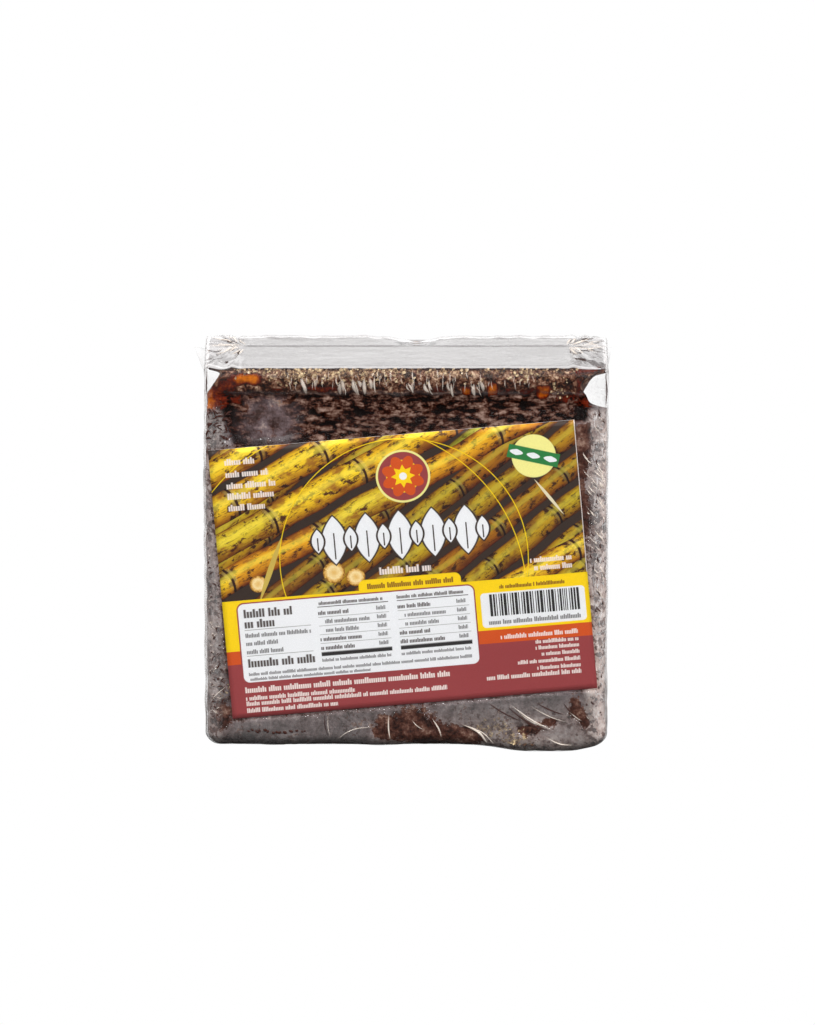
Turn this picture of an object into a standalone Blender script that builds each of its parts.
"""Film-wrapped panela block.

A square cake of unrefined cane sugar that stands on one of its narrow sides.  A paper label lies on
its front face, and one tight wrap of clear shrink film closes over both.  The film is sealed along
the top, behind the middle, and ends in a small flat ear at each top corner.

Two solids: wrapped_block is the cake out to its film, with a shallow pocket in front, and label is
the paper sheet in that pocket.  X is the width, the front faces -Y, and the pack stands on z = 0.
"""

from math import atan2, cos, exp, hypot, pi, radians, sin, sqrt, tan

import bmesh
import bpy
from mathutils import Matrix, Vector, noise

MM = 0.001                      # every size below is in millimetres

# The pack, out to its film
PACK_WIDTH = 102.0
PACK_DEPTH = 34.5
PACK_HEIGHT = 101.3
TOP_RADIUS = 1.1                # the film draws a fairly sharp edge along the top
FOOT_RADIUS = 3.6               # the cast cake is rounder at its foot
ARC_STEPS = 3                   # facets in each half of a rounded edge
WIDE_STEP = 5.2                 # spacing of the mesh on the broad plain areas
FINE_STEP = 2.4                 # spacing across the rim and the hollow band

# The front of the cake under its film, from the top edge down
RIM_BAND = (96.2, 99.8)         # the crumbly rim, between these heights
RIM_HEIGHT = 0.5
HOLLOW_TOP = 94.4               # the glassy hollow runs from here down to the label
HOLLOW_DEPTH = 1.4
HOLLOW_END = 9.0                # it runs out over this distance at each side
HOLLOW_BLEND = 1.6
RIDGE_HEIGHT = 0.6              # low ridges that run along the hollow
RIDGE_LENGTH = 24.0
RIDGE_PITCH = 4.2
SWELL_HEIGHT = 0.3              # slow unevenness of the cast faces
SWELL_LENGTH = 31.0

# The foot: level behind, and cast a little short along the front, except for one low lobe
FOOT_LIFT = 2.2
FOOT_LEVEL_FROM = -6.0          # the underside is level behind this depth
LOBE_PLACE = 35.5
LOBE_HALF_WIDTH = 13.0

# The top: the seal, a dent in the back edge, and the ears
SEAM_PLACE = 5.0                # behind the middle
SEAM_HALF_WIDTH = 0.35
SEAM_FOOT = 0.75                # the seal's bead blends in within this distance
SEAM_HEIGHT = 0.4
SEAM_END = 10.0                 # the bead stops this far from each end
DENT_PLACE = 2.8
DENT_HALF_WIDTH = 5.2
DENT_DEPTH = 2.0
DENT_FROM = 3.0                 # the dent starts behind this depth
EAR_LEFT = 3.0                  # reach of each ear past the side of the pack
EAR_RIGHT = 1.4
EAR_HEIGHT = 8.0
PLEAT_REACH = 10.5              # folds fan out from the ends of the seal over this distance
PLEAT_HEIGHT = 0.4
PLEAT_ANGLE = radians(21.0)     # from one fold of the fan to the next

# The label
LABEL_WIDTH = 93.0
LABEL_HEIGHT = 70.5
LABEL_TURN = radians(-4.95)     # about Y: its right end is raised
LABEL_PLACE = (-0.8, 48.5)      # centre, across and up
LABEL_STEP = 5.0
PAPER = 0.3
GAP = 0.3                       # clearance all round the label in its pocket
POCKET_OVERCUT = 1.5            # the cutter stands out of the front by this much

HALF_WIDTH = PACK_WIDTH / 2
HALF_DEPTH = PACK_DEPTH / 2


def clamp(value, low, high):
    return max(low, min(high, value))


def ease(value, start, end):
    """0 at start, 1 at end, with a smooth S between."""
    share = clamp((value - start) / (end - start), 0.0, 1.0)
    return share * share * (3.0 - 2.0 * share)


def band(value, limits, blend=HOLLOW_BLEND):
    """1 inside the limits and 0 outside, blended over a short distance at each."""
    low, high = limits
    return ease(value, low - blend, low + blend) * (1.0 - ease(value, high - blend, high + blend))


def lumps(x, y, z, length):
    """Smooth unevenness between about -1 and 1, with lumps of the given length."""
    return noise.noise(Vector((x, y, z)) / length)


def edge_radius(z):
    """Radius of the rounded edges: large at the foot, small at the top."""
    return FOOT_RADIUS + (TOP_RADIUS - FOOT_RADIUS) * ease(z, 0.0, PACK_HEIGHT)


def label_top(x):
    """Height of the label's upper edge, or of its line carried on, at a place across."""
    middle = LABEL_PLACE[1] + LABEL_HEIGHT / 2 / cos(LABEL_TURN)
    return middle - (x - LABEL_PLACE[0]) * tan(LABEL_TURN)


def front_relief(x, z):
    """How far the front stands out of its plane: rim, hollow band with ridges, and slow swell."""
    ridges = noise.noise(Vector((x / RIDGE_LENGTH, 0.0, z / RIDGE_PITCH)))
    rim = RIM_HEIGHT * band(z, RIM_BAND) * (1.0 + 0.5 * lumps(x, 0.0, z, 7.0))
    within = band(z, (label_top(x) + HOLLOW_BLEND, HOLLOW_TOP)) * ease(HALF_WIDTH - abs(x), 2.0, HOLLOW_END)
    hollow = within * (HOLLOW_DEPTH - RIDGE_HEIGHT * ridges)
    swell = SWELL_HEIGHT * lumps(x, 5.0, z, SWELL_LENGTH)
    return rim - hollow + swell


def front_share(y):
    """1 on the front face, falling to 0 where its rounded edges meet the sides."""
    return ease(y, -HALF_DEPTH + TOP_RADIUS, -HALF_DEPTH)


def front_surface(x, z):
    """Depth (y) of the film's front at a place across and up, for the label that lies on it."""
    radius = edge_radius(z)
    over_side = max(0.0, abs(x) - (HALF_WIDTH - radius))
    drop = radius - sqrt(radius ** 2 - min(over_side, radius) ** 2)
    y = -HALF_DEPTH + drop
    return y - front_relief(x, z) * front_share(y)


def foot_lift(x, y):
    """Height of the underside over the table: 0 behind and at the lobe."""
    lobe = exp(-((x - LOBE_PLACE) / LOBE_HALF_WIDTH) ** 4)
    uneven = 1.0 + 0.35 * lumps(x, 0.0, 0.0, 13.0)
    return FOOT_LIFT * uneven * (1.0 - lobe) * (1.0 - ease(y, -HALF_DEPTH + 1.0, FOOT_LEVEL_FROM))


def top_relief(x, y):
    """Height of the film's top over its plane: the seal's bead, the end folds and the dent."""
    across = abs(y - SEAM_PLACE)
    to_end = HALF_WIDTH - abs(x)
    bead = (SEAM_HEIGHT * (1.0 - ease(across, SEAM_HALF_WIDTH, SEAM_FOOT))
            * ease(to_end, SEAM_END - 2.0, SEAM_END))
    dent = (DENT_DEPTH * exp(-((x - DENT_PLACE) / DENT_HALF_WIDTH) ** 2)
            * ease(y, DENT_FROM, HALF_DEPTH - TOP_RADIUS))
    out = max(PLEAT_REACH - to_end, 0.01)
    turn = atan2(y - SEAM_PLACE, out)
    folds = PLEAT_HEIGHT * cos(2 * pi * turn / PLEAT_ANGLE) * ease(hypot(y - SEAM_PLACE, out), 2.0, 8.0)
    return bead - dent + folds * ease(out, 0.0, 2.0)


def ear_share(box_point):
    """How much of a point belongs to an ear: 1 at its top corner, thinning out down the side."""
    thin = 1.0 - ease(abs(box_point.y - SEAM_PLACE), SEAM_HALF_WIDTH, SEAM_FOOT)
    rise = clamp(1.0 - (PACK_HEIGHT - box_point.z) / EAR_HEIGHT, 0.0, 1.0)
    at_side = ease(abs(box_point.x), HALF_WIDTH - TOP_RADIUS, HALF_WIDTH)
    return thin * rise * at_side


def film_point(box_point):
    """Carry a point of the square-edged box to its place on the film."""
    radius = edge_radius(box_point.z)
    core = Vector((
        clamp(box_point.x, -HALF_WIDTH + radius, HALF_WIDTH - radius),
        clamp(box_point.y, -HALF_DEPTH + radius, HALF_DEPTH - radius),
        clamp(box_point.z, radius, PACK_HEIGHT - radius),
    ))
    outward = (box_point - core).normalized()
    point = core + outward * radius

    x, y, z = point
    side = 1.0 if x > 0.0 else -1.0
    point.x += SWELL_HEIGHT * outward.x * lumps(9.0 * side, y, z, SWELL_LENGTH)
    if outward.y < 0.0:
        point.y -= front_relief(x, z) * front_share(y)
    else:
        point.y += SWELL_HEIGHT * outward.y * lumps(x, 20.0, z, SWELL_LENGTH)
    if outward.z > 0.0:
        point.z += outward.z * top_relief(x, y)
    else:
        point.z += foot_lift(x, y) * (1.0 - ease(z, 0.0, 3.0 * FOOT_RADIUS))

    tip = Vector((side * (HALF_WIDTH + (EAR_RIGHT if side > 0.0 else EAR_LEFT)), box_point.y, box_point.z))
    return point.lerp(tip, ear_share(box_point))


def steps(start, end, spacing):
    """Evenly spaced places from start to end, both left out."""
    count = max(1, round((end - start) / spacing))
    return [start + (end - start) * i / count for i in range(1, count)]


def edge_steps(end, inward):
    """Places across a rounded edge, spaced so that its facets are equal in angle."""
    offsets = [FOOT_RADIUS * (1.0 - tan(radians(45.0) * i / ARC_STEPS)) for i in range(ARC_STEPS)]
    return [end + inward * offset for offset in offsets]


def mesh_places():
    """The places along X, Y and Z where the box is cut into a grid."""
    flat_x = HALF_WIDTH - FOOT_RADIUS
    flat_y = HALF_DEPTH - FOOT_RADIUS
    fine_from = label_top(-HALF_WIDTH)
    along_x = (edge_steps(-HALF_WIDTH, 1) + steps(-flat_x, flat_x, WIDE_STEP)
               + edge_steps(HALF_WIDTH, -1))
    seam = [SEAM_PLACE + offset for offset in (-SEAM_FOOT, -SEAM_HALF_WIDTH, SEAM_HALF_WIDTH, SEAM_FOOT)]
    along_y = (edge_steps(-HALF_DEPTH, 1) + steps(-flat_y, SEAM_PLACE - SEAM_FOOT, WIDE_STEP) + seam
               + steps(SEAM_PLACE + SEAM_FOOT, flat_y, WIDE_STEP) + edge_steps(HALF_DEPTH, -1))
    along_z = (edge_steps(0.0, 1) + steps(FOOT_RADIUS, fine_from, WIDE_STEP) + [fine_from]
               + steps(fine_from, PACK_HEIGHT - FOOT_RADIUS, FINE_STEP) + edge_steps(PACK_HEIGHT, -1))
    return along_x, along_y, along_z


def cut_into_grid(mesh, places_by_axis):
    """Cut every face of the box along planes square to X, Y and Z."""
    for axis, places in enumerate(places_by_axis):
        normal = Vector((axis == 0, axis == 1, axis == 2))
        for place in places:
            everything = mesh.verts[:] + mesh.edges[:] + mesh.faces[:]
            bmesh.ops.bisect_plane(mesh, geom=everything, dist=1e-4, plane_co=normal * place,
                                   plane_no=normal)


def middle_of(mesh):
    """The middle of a mesh's outline in plan, which the whole pack is centred on."""
    across = [corner.co.x for corner in mesh.verts]
    back = [corner.co.y for corner in mesh.verts]
    return Vector(((min(across) + max(across)) / 2, (min(back) + max(back)) / 2, 0.0))


def finish_mesh(mesh, name, collection, middle):
    """Centre, scale to metres, and make the object."""
    bmesh.ops.translate(mesh, verts=mesh.verts, vec=-middle)
    bmesh.ops.scale(mesh, verts=mesh.verts, vec=(MM, MM, MM))
    data = bpy.data.meshes.new(name)
    mesh.to_mesh(data)
    mesh.free()
    data.shade_smooth()
    thing = bpy.data.objects.new(name, data)
    collection.objects.link(thing)
    return thing


def make_material(name, colour, roughness):
    material = bpy.data.materials.new(name)
    material.use_nodes = True
    surface = material.node_tree.nodes["Principled BSDF"]
    surface.inputs["Base Color"].default_value = (*colour, 1.0)
    surface.inputs["Roughness"].default_value = roughness
    return material


def make_wrapped_block(collection):
    """The cake out to its film."""
    mesh = bmesh.new()
    box = Matrix.Translation((0.0, 0.0, PACK_HEIGHT / 2)) @ Matrix.Diagonal(
        (PACK_WIDTH, PACK_DEPTH, PACK_HEIGHT, 1.0))
    bmesh.ops.create_cube(mesh, size=1.0, matrix=box)
    cut_into_grid(mesh, mesh_places())
    for corner in mesh.verts:
        corner.co = film_point(corner.co)
    middle = middle_of(mesh)
    return finish_mesh(mesh, "wrapped_block", collection, middle), middle


def make_front_sheet(name, collection, middle, grow, sink, thickness):
    """A sheet of the label's outline that follows the front, sunk into it and thickened outwards."""
    width = LABEL_WIDTH + 2 * grow
    height = LABEL_HEIGHT + 2 * grow
    mesh = bmesh.new()
    bmesh.ops.create_grid(mesh, x_segments=round(width / LABEL_STEP), y_segments=round(height / LABEL_STEP),
                          size=0.5)
    for corner in mesh.verts:
        along, up = corner.co.x * width, corner.co.y * height
        x = LABEL_PLACE[0] + along * cos(LABEL_TURN) + up * sin(LABEL_TURN)
        z = LABEL_PLACE[1] - along * sin(LABEL_TURN) + up * cos(LABEL_TURN)
        corner.co = (x, front_surface(x, z) + sink, z)
    sheet = finish_mesh(mesh, name, collection, middle)
    solidify = sheet.modifiers.new("thickness", "SOLIDIFY")
    solidify.thickness = thickness * MM
    solidify.offset = 1.0
    return sheet


def cut_pocket(block, cutter):
    """Cut the label's pocket into the front."""
    cutter.hide_render = True
    cutter.display_type = "WIRE"
    pocket = block.modifiers.new("label pocket", "BOOLEAN")
    pocket.operation = "DIFFERENCE"
    pocket.solver = "EXACT"
    pocket.object = cutter


def main():
    for thing in list(bpy.data.objects):
        bpy.data.objects.remove(thing)

    pack = bpy.data.collections.new("wrapped_panela_block")
    cutters = bpy.data.collections.new("cutters")
    for collection in (pack, cutters):
        bpy.context.scene.collection.children.link(collection)

    block, middle = make_wrapped_block(pack)
    block.data.materials.append(make_material("sugar_under_film", (0.18, 0.11, 0.09), 0.35))
    label = make_front_sheet("label", pack, middle, 0.0, PAPER, PAPER)
    label.data.materials.append(make_material("printed_paper", (0.62, 0.50, 0.12), 0.5))
    pocket = make_front_sheet("label_pocket_cutter", cutters, middle, GAP, PAPER + GAP,
                              PAPER + GAP + POCKET_OVERCUT)
    cut_pocket(block, pocket)


main()
